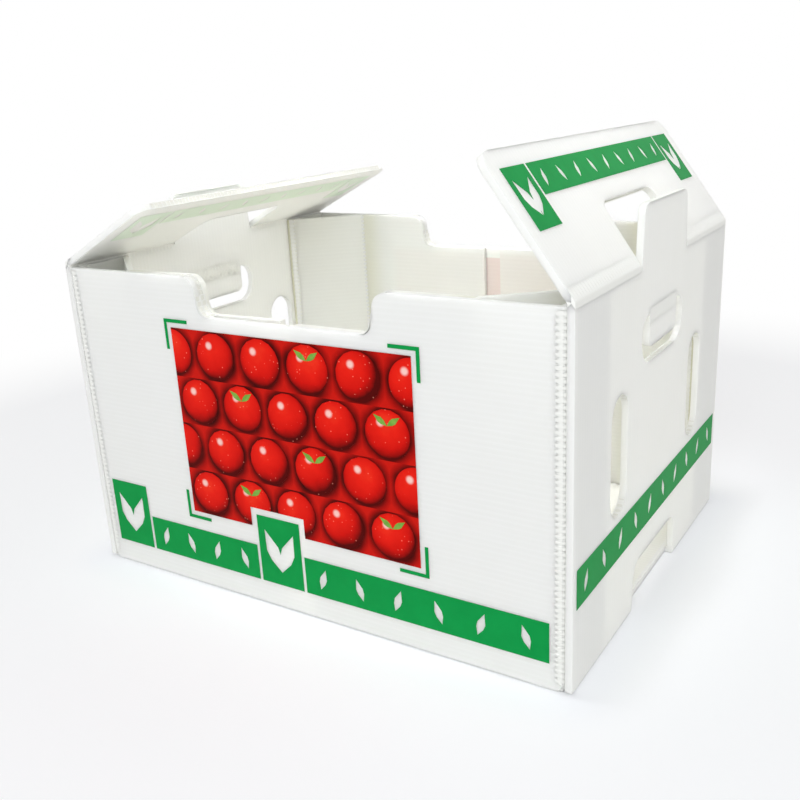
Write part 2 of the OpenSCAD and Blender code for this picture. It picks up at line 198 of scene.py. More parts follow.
# Extruded fluted polypropylene: milky satin skins that sag a little between the webs, with
# fine die lines along the flutes. flutes says how they run: "body" looks at each panel.
def flutedBoard(name, flutes):
    material, tree = newMaterial(name)
    place, x, y, z = places(tree)
    if flutes == "body":
        isEnd = calc(tree, "GREATER_THAN", calc(tree, "ABSOLUTE", x), zones["endFace"])
        isBase = calc(tree, "LESS_THAN", z, zones["baseTop"])
        across = calc(tree, "MAXIMUM", isEnd, isBase)
        run = addNode(tree, "ShaderNodeMix", {0: across, 2: z, 3: y}, data_type="FLOAT").outputs[0]
        along = addNode(tree, "ShaderNodeMix", {0: isEnd, 2: x, 3: z}, data_type="FLOAT").outputs[0]
    else:
        run, along = y, z
    wave = calc(tree, "SINE", calc(tree, "MULTIPLY", run, math.pi / board["fluteSpacing"]))
    sag = calc(tree, "POWER", calc(tree, "ABSOLUTE", wave), 0.6)
    lines = addNode(tree, "ShaderNodeCombineXYZ", {
        0: run, 1: calc(tree, "MULTIPLY", along, 0.012), 2: 0.0}).outputs[0]
    streak = addNode(tree, "ShaderNodeTexNoise", {
        "Vector": lines, "Scale": 0.9, "Detail": 3.0, "Roughness": 0.6}).outputs[0]
    cloud = addNode(tree, "ShaderNodeTexNoise", {"Vector": place, "Scale": 0.016, "Detail": 2.0}).outputs[0]
    tone = mixColour(tree, calc(tree, "MULTIPLY", sag, 0.4),
                     linear(boardLook["colour"]), linear(boardLook["cellColour"]))
    streaks = boardLook["streaks"]
    dark = calc(tree, "MULTIPLY_ADD", streak, -2 * streaks, 1.0 + streaks * 0.6)
    dark = calc(tree, "MULTIPLY", dark, calc(tree, "MULTIPLY_ADD", cloud, -0.05, 1.02))
    tone = addNode(tree, "ShaderNodeVectorMath", {0: tone, 3: dark}, operation="SCALE").outputs[0]
    if flutes == "body":
        # the body gets painted light where the print shows through and painted shade beside the posts
        tone = paintedPostShade(tree, paintedPrintShowThrough(tree, tone, x, y, z), x, y)
    depth = calc(tree, "MULTIPLY_ADD", streak, 0.02, calc(tree, "MULTIPLY", sag, -boardLook["skinSag"]))
    bump = addNode(tree, "ShaderNodeBump", {
        "Strength": 0.8, "Distance": mm, "Height": depth, "Normal": roundedEdge(tree)})
    rough = calc(tree, "MULTIPLY_ADD", cloud, 0.12, boardLook["roughness"] - 0.06)
    finishMaterial(tree, milkyPlastic(tree, tone, rough, bump.outputs[0]))
    return material


bodyBoard = flutedBoard("flutedPolypropyleneBody", "body")
flapBoard = flutedBoard("flutedPolypropyleneFlap", "flap")


# The same plastic where a crease or a cut has worked it: smooth, a little whiter
def workedBoard(name, colour, roughness, cloudColour="#e8e8e3"):
    material, tree = newMaterial(name)
    place, x, y, z = places(tree)
    cloud = addNode(tree, "ShaderNodeTexNoise", {"Vector": place, "Scale": 0.12, "Detail": 3.0}).outputs[0]
    tone = mixColour(tree, calc(tree, "MULTIPLY", cloud, 0.3), linear(colour), linear(cloudColour))
    finishMaterial(tree, addNode(tree, "ShaderNodeBsdfPrincipled", {
        "Base Color": tone, "Roughness": roughness, "IOR": 1.49, "Specular IOR Level": 0.35}))
    return material


creasedBoard = workedBoard("creasedPolypropylene", "#f7f7f4", 0.4, "#f0f0ec")
foldedBoard = workedBoard("foldedPolypropylene", boardLook["worked"], 0.4, "#eaeae6")
# painted shade: the roll round a post tip takes the yellowish fold shade
rollPaintedShade = workedBoard("rolledPolypropylenePaintedShade", boardLook["paintedFoldShade"], 0.45)
cutBoard = workedBoard("cutPolypropylene", boardLook["cut"], 0.5)
# painted shade: the floor of each cut flute is darker, for the shade deep in the hollow
cellPaintedShade = workedBoard("fluteCellPaintedShade", boardLook["cellPaintedShade"], 0.7)

print("print materials")

ink = {
    "green": "#109e4c", "greenDark": "#078a40",
    "showThroughPainted": "#e6f7e4", "showThroughPaintedPale": "#f1f8ec",  # painted light: the lid print as light carries it through the other skin
    "leaf": "#3f8a2c", "leafLight": "#9cc25a",
}
picture = {"halfWidth": 98.0, "foot": 61.5, "columnStep": 39.2, "rowStep": 35.0, "fruitRadius": 16.45}


# A coat of ink has a soft gloss of its own
def inkCoat(tree, colour):
    return addNode(tree, "ShaderNodeBsdfPrincipled", {
        "Base Color": colour, "Roughness": 0.4, "IOR": 1.5, "Specular IOR Level": 0.05})


# Flexographic ink, laid on in one coat, a little darker in clouds
def printedInk(name, light, dark, scale):
    material, tree = newMaterial(name)
    place, x, y, z = places(tree)
    cloud = addNode(tree, "ShaderNodeTexNoise", {
        "Vector": place, "Scale": scale, "Detail": 4.0, "Roughness": 0.65}).outputs[0]
    finishMaterial(tree, inkCoat(tree, mixColour(tree, cloud, linear(light), linear(dark))))
    return material


greenInk = printedInk("greenFlexoInk", ink["green"], ink["greenDark"], 0.05)
leafInk = printedInk("leafFlexoInk", ink["leafLight"], ink["leaf"], 0.25)
# painted light: pale green for the lid print seen through the board, laid on the underside
paintedShowThroughInk = printedInk("greenShowThroughPaintedLight", ink["showThroughPainted"], ink["showThroughPaintedPale"], 0.03)


# Nearest fruit of the staggered rows: the way to its middle in mm, and a number of its own
def nearestFruit(tree, x, z):
    step, spare = picture["columnStep"], 4.0  # whole rows added, so that no row has a number below 0
    rows = calc(tree, "DIVIDE", calc(tree, "SUBTRACT", z, picture["foot"]), picture["rowStep"])
    rows = calc(tree, "ADD", rows, spare)
    row = calc(tree, "FLOOR", rows)
    odd = calc(tree, "MODULO", row, 2.0)
    columns = calc(tree, "DIVIDE", calc(tree, "ADD", x, picture["halfWidth"] + step * 2), step)
    columns = calc(tree, "SUBTRACT", columns, calc(tree, "MULTIPLY", odd, 0.5))
    u = calc(tree, "SUBTRACT", calc(tree, "FRACT", columns), 0.5)
    v = calc(tree, "SUBTRACT", calc(tree, "FRACT", rows), 0.5)
    column = calc(tree, "FLOOR", columns)
    which = addNode(tree, "ShaderNodeCombineXYZ", {0: column, 1: row, 2: 0.0}).outputs[0]
    return (calc(tree, "MULTIPLY", u, step), calc(tree, "MULTIPLY", v, picture["rowStep"]),
            addNode(tree, "ShaderNodeTexWhiteNoise", {"Vector": which}, noise_dimensions="3D"))


# Length of the way from its two parts
def reach(tree, dx, dz):
    squares = calc(tree, "ADD", calc(tree, "MULTIPLY", dx, dx), calc(tree, "MULTIPLY", dz, dz))
    return calc(tree, "SQRT", squares)


# Soft spot on the fruit: 1 in its middle, 0 past its size
def spot(tree, nx, nz, atX, atZ, size):
    away = reach(tree, calc(tree, "SUBTRACT", nx, atX), calc(tree, "SUBTRACT", nz, atZ))
    return addNode(tree, "ShaderNodeMapRange", {0: away, 1: size, 2: size * 0.35, 3: 0.0, 4: 1.0},
                   interpolation_type="SMOOTHSTEP").outputs[0]


def colourRamp(tree, value, stops):
    ramp = addNode(tree, "ShaderNodeValToRGB", {0: value})
    points = ramp.color_ramp.elements
    while len(points) < len(stops):
        points.new(0.5)
    for point, (at, colour) in zip(points, stops):
        point.position = at
        point.color = linear(colour)
    return ramp.outputs[0]


# Ripe round fruit printed flat: light from above, a deep shade round the rim, a small
# gloss spot and a few drops. side turns the light over for the back panel.
def fruitTone(tree, place, u, v, own, side):
    nx = calc(tree, "DIVIDE", u, picture["fruitRadius"])
    nz = calc(tree, "DIVIDE", v, picture["fruitRadius"])
    left = calc(tree, "SUBTRACT", 1.0, calc(tree, "POWER", reach(tree, nx, nz), 2.0))
    rise = calc(tree, "SQRT", calc(tree, "MAXIMUM", left, 0.0))
    tilt = calc(tree, "MULTIPLY_ADD", own.outputs["Value"], 0.5, -0.25)
    lit = calc(tree, "MULTIPLY", nx, calc(tree, "ADD", tilt, -0.22 * side))
    lit = calc(tree, "MULTIPLY_ADD", nz, 0.36, lit)
    lit = calc(tree, "MULTIPLY_ADD", rise, 0.74, lit)
    skin = addNode(tree, "ShaderNodeTexNoise", {"Vector": place, "Scale": 0.09, "Detail": 3.0}).outputs[0]
    lit = calc(tree, "MULTIPLY_ADD", calc(tree, "SUBTRACT", skin, 0.5), 0.4, lit)
    lit = calc(tree, "MULTIPLY_ADD", own.outputs["Value"], 0.2, calc(tree, "SUBTRACT", lit, 0.08))
    tone = colourRamp(tree, lit, [(0.0, "#520403"), (0.22, "#9c0a06"), (0.48, "#d0120a"),
                                  (0.8, "#e61f12"), (1.0, "#f0371f")])
    shine = spot(tree, nx, nz, -0.3 * side, 0.46, 0.22)
    tone = mixColour(tree, calc(tree, "MULTIPLY", shine, 0.75), tone, linear("#ffe3da"))
    drops = addNode(tree, "ShaderNodeTexVoronoi", {"Vector": place, "Scale": 0.3, "Randomness": 1.0})
    bright = addNode(tree, "ShaderNodeMapRange", {
        0: drops.outputs["Distance"], 1: 0.18, 2: 0.08, 3: 0.0, 4: 1.0}).outputs[0]
    some = calc(tree, "MULTIPLY", bright, calc(tree, "GREATER_THAN", skin, 0.5))
    return mixColour(tree, calc(tree, "MULTIPLY", some, 0.5), tone, linear("#ff9c86"))


# Dark ground: the tops of fruit that lie deeper show in the gaps, darkest beside the front ones.
# At the ends of the shorter rows the edge of the picture cuts a fruit in half.
def groundTone(tree, place, u, v, own, side):
    away = reach(tree, u, v)
    mottle = addNode(tree, "ShaderNodeTexNoise", {"Vector": place, "Scale": 0.05, "Detail": 2.0}).outputs[0]
    rough = calc(tree, "MULTIPLY_ADD", calc(tree, "SUBTRACT", mottle, 0.5), 8.0, away)
    deep = addNode(tree, "ShaderNodeMapRange", {
        0: rough, 1: picture["fruitRadius"] - 1.5, 2: 23.0, 3: 0.0, 4: 1.0}).outputs[0]
    tone = colourRamp(tree, deep, [(0.0, "#2a0302"), (0.3, "#610704"), (0.65, "#a50e08"), (1.0, "#c8180e")])
    return mixColour(tree, calc(tree, "LESS_THAN", away, picture["fruitRadius"]), tone,
                     fruitTone(tree, place, u, v, own, side))


def pictureInk(name, toneOf, side):
    material, tree = newMaterial(name)
    place, x, y, z = places(tree)
    finishMaterial(tree, inkCoat(tree, toneOf(tree, place, *nearestFruit(tree, x, z), side)))
    return material


def assign(name, material):
    mesh = nodes[name].data
    mesh.materials.clear()
    mesh.materials.append(material)


assign("box_body", bodyBoard)
for name in ("left_lid_flap", "right_lid_flap", "left_hand_flap", "right_hand_flap"):
    assign(name, flapBoard)
for name in ("front_band_print", "back_band_print", "left_end_print", "right_end_print",
             "left_lid_print", "right_lid_print"):
    assign(name, greenInk)
for side, turn in (("front", 1), ("back", -1)):
    assign(side + "_picture_ground", pictureInk(side + "GroundInk", groundTone, turn))
    assign(side + "_picture_fruit", pictureInk(side + "FruitInk", fruitTone, turn))
    assign(side + "_picture_leaves", leafInk)

print("templates for what repeats")


def meshObject(name, verts, faces, materials=()):
    mesh = bpy.data.meshes.new(name)
    mesh.from_pydata([Vector(v) * mm for v in verts], [], faces)
    for material in materials:
        mesh.materials.append(material)
    made = bpy.data.objects.new(name, mesh)
    bpy.context.scene.collection.objects.link(made)
    return made


cell = {
    "skin": 0.55, "web": 0.5,  # wall thickness round a cell, in mm
    "proud": 0.3,              # height of the cut lip over the flat edge of the solid
    "corner": 0.5,             # cut off each corner of the hollow
}


# The cut end of one flute: X runs along the edge, Y through the board, Z out of the cut
def cellTemplate():
    halfX, halfY, out = board["fluteSpacing"] / 2, board["thick"] / 2, cell["proud"]
    inX, inY, cut = halfX - cell["web"] / 2, halfY - cell["skin"], cell["corner"]
    outer = [(halfX, -halfY), (halfX, halfY), (-halfX, halfY), (-halfX, -halfY)]
    inner = [(inX, -inY + cut), (inX, inY - cut), (inX - cut, inY), (-inX + cut, inY),
             (-inX, inY - cut), (-inX, -inY + cut), (-inX + cut, -inY), (inX - cut, -inY)]
    verts = [(px, py, out) for px, py in outer] + [(px, py, 0.0) for px, py in outer]
    verts += [(px, py, out) for px, py in inner] + [(px, py, 0.03) for px, py in inner]
    faces = [(1, 2, 11, 10), (3, 0, 15, 14), (0, 1, 9, 8), (2, 3, 13, 12),
             (1, 10, 9), (2, 12, 11), (3, 14, 13), (0, 8, 15)]
    faces += [(1, 5, 6, 2), (3, 7, 4, 0), (4, 7, 6, 5)]
    faces += [(8 + i, 8 + (i + 1) % 8, 16 + (i + 1) % 8, 16 + i) for i in range(8)]
    faces += [tuple(range(16, 24))]
    made = meshObject("cellTemplate", verts, faces, (cutBoard, cellPaintedShade))
    # the floor of the hollow gets painted shade, for the deep flute behind it
    made.data.polygons[len(faces) - 1].material_index = 1
    return made


# Closed strip one flute wide along X, swept from a ring of points round its section. Each
# point has its place, the way out, and how far it stands out on the flute and between two.
def stripTemplate(name, ring, material):
    verts, faces, n = [], [], len(ring)
    columns = foldLook["columns"]
    for c in range(columns + 1):
        u = c / columns - 0.5
        lift = (1 + math.cos(math.tau * u)) / 2
        for place, way, high, low in ring:
            p = place + way * (low + (high - low) * lift)
            verts.append((u * board["fluteSpacing"], p.x, p.y))
    for c in range(columns):
        for k in range(n):
            a, b = c * n + k, c * n + (k + 1) % n
            faces.append((a, b, b + n, a + n))
    return meshObject(name, verts, faces, (material,))


foldLook = {
    "columns": 6,  # stretches to a flute
    "deep": 0.45,  # how far the strip goes down into the board
    # over the panel from a fold: distance, height of the swelling, depth between two
    "corner": ((0.5, 0.2, 0.0), (1.6, 0.17, -0.01), (3.0, 0.1, -0.02), (4.2, 0.04, -0.04),
               (5.2, 0.0, -0.05), (6.0, -0.05, -0.05)),
    "post": ((0.6, 0.3, 0.0), (1.6, 0.28, 0.0), (2.6, 0.14, -0.02), (3.6, 0.04, -0.05),
             (4.2, -0.05, -0.05)),
    "sideFold": ((0.6, 0.12, -0.04), (1.8, 0.12, -0.04), (3.0, 0.05, -0.04), (4.0, -0.05, -0.05)),
}


# The board swells on each flute beside a fold: X runs along the fold, Y over the panel and Z
# out of it. turn gives the points where the board goes round the fold.
def foldTemplate(name, turn, face, material=foldedBoard):
    ring = [(Vector(p), Vector(way).normalized(), high, low) for p, way, high, low in turn]
    ring += [(Vector((y, 0)), Vector((0, 1)), high, low) for y, high, low in foldLook.get(face, ())]
    inner = [(p - way * foldLook["deep"], way, 0.0, 0.0) for p, way, high, low in reversed(ring)]
    return stripTemplate(name, ring + inner, material)


crease = {
    "throat": 3.35, "innerThroat": 2.75,  # where the flat board ends beside the crease
    "innerMiddle": 2.5,                   # distance of the inner skin from the axis, half way round
    "round": 1.5,                         # the outer skin turns over this much each side of the corner
    "turn": 2.2,                          # a distance each side of the axis, in mm
}


# The crushed board along a crease, as wide as one flute. X runs along the crease, Y outwards
# and Z up the flap; the panel that carries the flap hangs down from the axis.
def creaseTemplate(lean, ribs):
    half = board["thick"] / 2
    lean = math.radians(lean)
    panelWay, panelOut = Vector((0, -1)), Vector((1, 0))
    flapWay = Vector((-math.sin(lean), math.cos(lean)))
    flapOut = Vector((math.cos(lean), math.sin(lean)))
    ring = []

    def flat(way, out, side, s, high, sink=0.0, low=-0.06):
        ring.append((way * s + out * side * (half - sink), out * side, high, low))

    def bend(first, last, radius, high, count):
        a, b = math.atan2(first.y, first.x), math.atan2(last.y, last.x)
        if last.x < 0 and first.x < 0:
            b += math.tau if b < a - math.pi else -math.tau if b > a + math.pi else 0
        edge = first.length
        for i in range(1, count):
            t = i / count
            angle = a + (b - a) * t
            r = edge + (radius - edge) * math.sin(math.pi * t) ** 0.7
            way = Vector((math.cos(angle), math.sin(angle)))
            ring.append((way * r, way, high, -0.06))

    throat, inner = crease["throat"], crease["innerThroat"]
    corner = -half * math.tan(lean / 2)  # where the two outer faces meet, from the axis
    flat(panelWay, panelOut, 1, throat + 0.6, -0.04, 0.3, low=-0.04)
    flat(panelWay, panelOut, 1, throat + 0.5, -0.04, low=-0.04)
    for s in (-0.1, -1.0, -1.8):
        flat(panelWay, panelOut, 1, throat + s, 0.0, low=0.0)
    turnEnd = corner + crease["round"]
    first, last = panelWay * turnEnd + panelOut * half, flapWay * turnEnd + flapOut * half
    middle = panelWay * corner + panelOut * half
    for i in range(5):
        t = i / 4
        place = first * (1 - t) ** 2 + middle * 2 * t * (1 - t) + last * t * t
        ring.append((place, (panelOut * (1 - t) + flapOut * t).normalized(), 0.01 + 0.08 * t, 0.0))
    for s, high in ribs:
        flat(flapWay, flapOut, 1, corner + s, high, low=-0.05 if high < 0.1 else 0.0)
    flat(flapWay, flapOut, 1, corner + ribs[-1][0], -0.06, 0.3)
    for s, high in ((3.6, -0.06), (2.2, 0.16), (1.0, 0.28), (0.0, 0.32)):
        if high < 0:
            flat(flapWay, flapOut, -1, inner + s, high, 0.3)
        flat(flapWay, flapOut, -1, inner + s, high)
    bend(flapWay * inner - flapOut * half, panelWay * inner - panelOut * half,
         crease["innerMiddle"], 0.32, 5)
    for s, high in ((0.0, 0.32), (1.0, 0.28), (2.2, 0.16), (3.6, -0.06)):
        flat(panelWay, panelOut, -1, inner + s, high)
    flat(panelWay, panelOut, -1, inner + 3.6, -0.06, 0.3)
    return stripTemplate("creaseTemplate", ring, creasedBoard)


# A guide is a set of polylines in millimetres. Each point carries the way that its copy
# faces, and how far the copy is stretched so that a whole number of them fills the line.
def guideObject(name, lines):
    mesh = bpy.data.meshes.new(name)
    verts, edges, facing, stretch = [], [], [], []
    for points in lines:
        length = sum((Vector(b[0]) - Vector(a[0])).length for a, b in zip(points, points[1:]))
        fit = length / board["fluteSpacing"]
        for i, (at, out) in enumerate(points):
            if i:
                edges.append((len(verts) - 1, len(verts)))
            verts.append(Vector(at) * mm)
            facing.append(Vector(out).normalized())
            stretch.append(fit / max(1, int(fit + 1e-4)))
    mesh.from_pydata(verts, edges, [])
    layer = mesh.attributes.new("facing", "FLOAT_VECTOR", "POINT")
    layer.data.foreach_set("vector", [c for v in facing for c in v])
    layer = mesh.attributes.new("stretch", "FLOAT", "POINT")
    layer.data.foreach_set("value", stretch)
    made = bpy.data.objects.new(name, mesh)
    bpy.context.scene.collection.objects.link(made)
    return made


# Sets a template along every guide line, one for each flute
def rowTree():
    tree = bpy.data.node_groups.new("setAlongFlutes", "GeometryNodeTree")
    face = tree.interface
    face.new_socket("Guide", in_out="INPUT", socket_type="NodeSocketGeometry")
    face.new_socket("Flute spacing", in_out="INPUT", socket_type="NodeSocketFloat")
    face.new_socket("Join distance", in_out="INPUT", socket_type="NodeSocketFloat")
    face.new_socket("Template", in_out="INPUT", socket_type="NodeSocketObject")
    face.new_socket("Hollow material", in_out="INPUT", socket_type="NodeSocketMaterial")
    face.new_socket("Result", in_out="OUTPUT", socket_type="NodeSocketGeometry")
    into = addNode(tree, "NodeGroupInput")
    curve = addNode(tree, "GeometryNodeMeshToCurve", {"Mesh": into.outputs["Guide"]})
    points = addNode(tree, "GeometryNodeResampleCurve", {
        "Curve": curve.outputs[0], "Length": into.outputs["Flute spacing"]}, mode="LENGTH")
    tangent = addNode(tree, "GeometryNodeInputTangent")
    facing = addNode(tree, "GeometryNodeInputNamedAttribute", {"Name": "facing"}, data_type="FLOAT_VECTOR")
    stretch = addNode(tree, "GeometryNodeInputNamedAttribute", {"Name": "stretch"}, data_type="FLOAT")
    turn = addNode(tree, "FunctionNodeAxesToRotation", {0: facing.outputs[0], 1: tangent.outputs[0]},
                   primary_axis="Z", secondary_axis="X")
    size = addNode(tree, "ShaderNodeCombineXYZ", {0: stretch.outputs[0], 1: 1.0, 2: 1.0})
    source = addNode(tree, "GeometryNodeObjectInfo", {"Object": into.outputs["Template"]})
    placed = addNode(tree, "GeometryNodeInstanceOnPoints", {
        "Points": points.outputs[0], "Instance": source.outputs["Geometry"],
        "Rotation": turn.outputs[0], "Scale": size.outputs[0]})
    real = addNode(tree, "GeometryNodeRealizeInstances", {0: placed.outputs[0]})
    joined = addNode(tree, "GeometryNodeMergeByDistance", {
        "Geometry": real.outputs[0], "Distance": into.outputs["Join distance"]})
    slotOf = addNode(tree, "GeometryNodeInputMaterialIndex")
    isHollow = addNode(tree, "FunctionNodeCompare", {2: slotOf.outputs[0], 3: 1},
                       data_type="INT", operation="EQUAL")
    # the hollow floors of the cut flutes take the painted-shade material
    hollow = addNode(tree, "GeometryNodeSetMaterial", {
        "Geometry": joined.outputs[0], "Selection": isHollow.outputs[0],
        "Material": into.outputs["Hollow material"]})
    addNode(tree, "NodeGroupOutput", {0: hollow.outputs[0]})
    return tree


alongFlutes = rowTree()


# Plain closed mesh of a template set along guide lines
def setAlong(name, lines, template, smooth=False):
    guide = guideObject(name + "Guide", lines)
    modifier = guide.modifiers.new("alongFlutes", "NODES")
    modifier.node_group = alongFlutes
    values = {"Flute spacing": board["fluteSpacing"] * mm, "Join distance": 0.02 * mm,
              "Template": template, "Hollow material": cellPaintedShade}
    for item in alongFlutes.interface.items_tree:
        if item.in_out == "INPUT" and item.name in values:
            modifier[item.identifier] = values[item.name]
    bpy.context.view_layer.update()
    result = guide.evaluated_get(bpy.context.evaluated_depsgraph_get())
    mesh = bpy.data.meshes.new_from_object(result)
    bpy.data.objects.remove(guide)
    work = bmesh.new()
    work.from_mesh(mesh)
    bmesh.ops.holes_fill(work, edges=[e for e in work.edges if e.is_boundary])
    bmesh.ops.recalc_face_normals(work, faces=work.faces)
    work.to_mesh(mesh)
    work.free()
    if smooth:
        mesh.shade_smooth()
        mesh.set_sharp_from_angle(angle=math.radians(50))
    made = bpy.data.objects.new(name, mesh)
    bpy.context.scene.collection.objects.link(made)
    print("  " + name, len(mesh.polygons), "faces")
    return made


def rideBoard(piece, body):
    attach(piece, body)


# Straight guide between two points, half a flute short at each end
def row(a, b, out):
    a, b = Vector(a), Vector(b)
    step = (b - a).normalized() * board["fluteSpacing"] / 2
    return [(a + step, out), (b - step, out)]


# A way from a lid's crease, s up the lid and n out of its face, for the right or left lid
def lidWay(side, s, n):
    lean = math.radians(lid[side + "Lean"])
    x, z = -s * math.sin(lean) + n * math.cos(lean), s * math.cos(lean) + n * math.sin(lean)
    return Vector((x if side == "right" else -x, 0, z))


def onLid(side, s, y):
    axis = Vector((board["pivotX"] if side == "right" else -board["pivotX"], y, board["lidCrease"]))
    return axis + lidWay(side, s, 0)


print("cut flute ends")
cellEnd = cellTemplate()
px, py, iy = board["pivotX"], board["panelY"], board["innerY"]

# Cut edges that cross the flutes, in millimetres, with half the length of each straight one
cuts = {
    "tabTop": 277.55, "tabHalf": 37.5, "holeFoot": 174.55, "holeHalf": 27.0,
    "notchTop": 35.75, "notchHalf": 33.5, "handFoot": 184.55, "handHalf": 24.0,
    "ventMiddle": 80.5, "ventRadius": 15.0, "ventLow": 102.0, "ventHigh": 153.0,
    "recessLip": (83.3, 228.1, 10.0), "recessFoot": (61.6, 219.0, 8.0),  # middle in X and Z, radius
}


# Side of the rim recess, from the rim over its lip and down to its floor
def recessSide(y, way):
    lip, foot = cuts["recessLip"], cuts["recessFoot"]
    points = []
    for i in range(7):
        t = math.radians(90 + 84 * i / 6)
        points.append(((lip[0] + lip[2] * math.cos(t), y, lip[1] + lip[2] * math.sin(t)),
                       (math.cos(t), 0, math.sin(t))))
    for i in range(7):
        t = math.radians(-6 - 84 * i / 6)
        points.append(((foot[0] + foot[2] * math.cos(t), y, foot[1] + foot[2] * math.sin(t)),
                       (-math.cos(t), 0, -math.sin(t))))
    return [((way * p[0], p[1], p[2]), (way * o[0], o[1], o[2])) for p, o in points[1:-1]]


bodyCells = []
for sx in (-1, 1):
    for half, z, up in ((cuts["tabHalf"], cuts["tabTop"], 1), (cuts["holeHalf"], cuts["holeFoot"], 1),
                        (cuts["notchHalf"], cuts["notchTop"], -1)):
        bodyCells.append(row((sx * px, -half, z), (sx * px, half, z), (0, 0, up)))
    for sy in (-1, 1):
        for middle, turn in ((cuts["ventLow"], -1), (cuts["ventHigh"], 1)):
            arc, radius = [], cuts["ventRadius"]
            for i in range(13):
                t = math.radians(-54 + 9 * i)
                y, z = sy * cuts["ventMiddle"] + radius * math.sin(t), middle + turn * radius * math.cos(t)
                arc.append(((sx * px, y, z), (0, -math.sin(t), -turn * math.cos(t))))
            bodyCells.append(arc)
        bodyCells.append(recessSide(sy * py, sx))
        bodyCells.append(recessSide(sy * iy, sx))
rideBoard(setAlong("cutFluteEnds", bodyCells, cellEnd), "box")

for side in ("left", "right"):
    edge, top, half = lid["length"], lid["cutoutTop"], lid["cutoutHalf"]
    free = lid["freeHalf"]
    lines = [row(onLid(side, edge, -free), onLid(side, edge, free), lidWay(side, 1, 0)),
             row(onLid(side, top, -half), onLid(side, top, half), lidWay(side, -1, 0))]
    rideBoard(setAlong(side + "LidFluteEnds", lines, cellEnd), side + "_lid")
    sx = -1 if side == "left" else 1
    half, z = cuts["handHalf"], cuts["handFoot"]
    lines = [row((sx * px, -half, z), (sx * px, half, z), (0, 0, -1))]
    rideBoard(setAlong(side + "HandFlapFluteEnds", lines, cellEnd), side + "_hand")
bpy.data.objects.remove(cellEnd)

print("swellings along the folds")
corners = {
    "foldX": 193.88, "pinches": 63,
    # round the fold: place, way out, height of the swelling, depth between two
    "turn": (((-1.3, -1.3), (-0.7, 0.7), 0.03, 0.0), ((-0.75, -0.75), (-0.7, 0.7), 0.12, -0.05),
             ((-0.2, -0.2), (-0.4, 0.9), 0.19, -0.04)),
}
lines = []
step = (board["rim"] - board["wallFoot"]) / corners["pinches"]
for sx in (-1, 1):
    for sy in (-1, 1):
        # corner folds of the long panels, on the ribs between the pinches of the solid
        place = sx * corners["foldX"], sy * board["halfWidth"]
        a = (*place, board["wallFoot"] + step)
        b = (*place, board["rim"] - step)
        lines.append([(p, (0, sy, 0)) for p in ((b, a) if sx * sy > 0 else (a, b))])
template = foldTemplate("cornerSwelling", corners["turn"], "corner")
rideBoard(setAlong("cornerFoldBeads", lines, template, smooth=True), "box")
bpy.data.objects.remove(template)

# The inner ply turns sharply at the tip of each corner post, and again at the long panel
post = {
    "foot": 5.5, "top": 237.5,
    # round the tip from its far side to the face: angle, height of the swelling, depth between two
    "tip": ((42, 0.05, -0.05), (30, 0.24, 0.0), (18, 0.32, 0.0), (6, 0.35, 0.01)),
    "roll": ((126, 1.0, 0.95), (108, 1.35, 1.3), (90, 1.25, 1.2), (72, 0.92, 0.86),
             (54, 0.45, 0.38), (36, -0.04, -0.05)),
}
endLines, sideLines = [], []
half = board["thick"] / 2
for sx in (-1, 1):
    for sy in (-1, 1):
        tip = Vector((sx * board["wingX"], sy * (board["halfWidth"] - board["postEnd"]), 0))
        side = Vector((sx * (board["halfLength"] - board["postSide"]), sy * board["innerY"], 0))
        way = (side - tip).normalized()
        out = Vector((-sx * abs(way.y), -sy * abs(way.x), 0))
        heights = (post["foot"], post["top"]) if sx * sy > 0 else (post["top"], post["foot"])
        endLines.append(row(*(tip + out * half + Vector((0, 0, z)) for z in heights), out))
        sideLines.append(row(*(side + out * half + Vector((0, 0, z)) for z in reversed(heights)), out))


# The points of a dictionary's row, set round the tip of a post
def roundTip(points):
    turned = []
    for degrees, high, low in points:
        t = math.radians(degrees)
        way = (-math.sin(t), math.cos(t))
        turned.append(((half * way[0], half * way[1] - half), way, high, low))
    return turned


template = foldTemplate("postSwelling", roundTip(post["tip"]), "post")
rideBoard(setAlong("postFoldBeads", endLines, template, smooth=True), "box")
bpy.data.objects.remove(template)
# the roll round each post tip is coloured with painted shade
template = foldTemplate("postRoll", roundTip(post["roll"]), None, rollPaintedShade)
rideBoard(setAlong("postFoldRolls", endLines, template, smooth=True), "box")
bpy.data.objects.remove(template)
template = foldTemplate("sideSwelling", (((-0.2, 0.0), (0, 1), -0.05, -0.05),), "sideFold")
rideBoard(setAlong("postSideBeads", sideLines, template, smooth=True), "box")
bpy.data.objects.remove(template)

print("creases")
# up the flap from the corner of the fold: distance, height of the rib
lidRibs = ((2.4, 0.34), (4.0, 0.4), (5.6, 0.3), (7.0, 0.16), (8.2, 0.04), (9.0, -0.05))
handRibs = ((2.2, 0.26), (3.4, 0.28), (4.8, 0.18), (6.0, 0.05), (6.8, -0.05))


# Crushed strip along a hinge: it bends from the panel at one side to the flap at the other
def creaseStrip(name, sx, axisZ, spans, up, lean, ribs):
    template = creaseTemplate(lean, ribs)
    lines = []
    for y0, y1 in spans:
        ends = (y1, y0) if sx * up > 0 else (y0, y1)
        lines.append(row(*((sx * px, y, axisZ) for y in ends), (0, 0, up)))
    strip = setAlong(name, lines, template, smooth=True)
    bpy.data.objects.remove(template)
    lean, reach = math.radians(lean), crease["turn"]
    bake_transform(strip)


for side, sx in (("left", -1), ("right", 1)):
    near, far = lid["creaseFrom"], board["halfWidth"] - 0.2
    creaseStrip(side + "LidCrease", sx, board["lidCrease"], ((-far, -near), (near, far)), 1,
                lid[side + "Lean"], lidRibs)
    creaseStrip(side + "HandFlapCrease", sx, board["handCrease"], ((-29, 29),), -1,
                0, handRibs)

print("print seen through the lids")
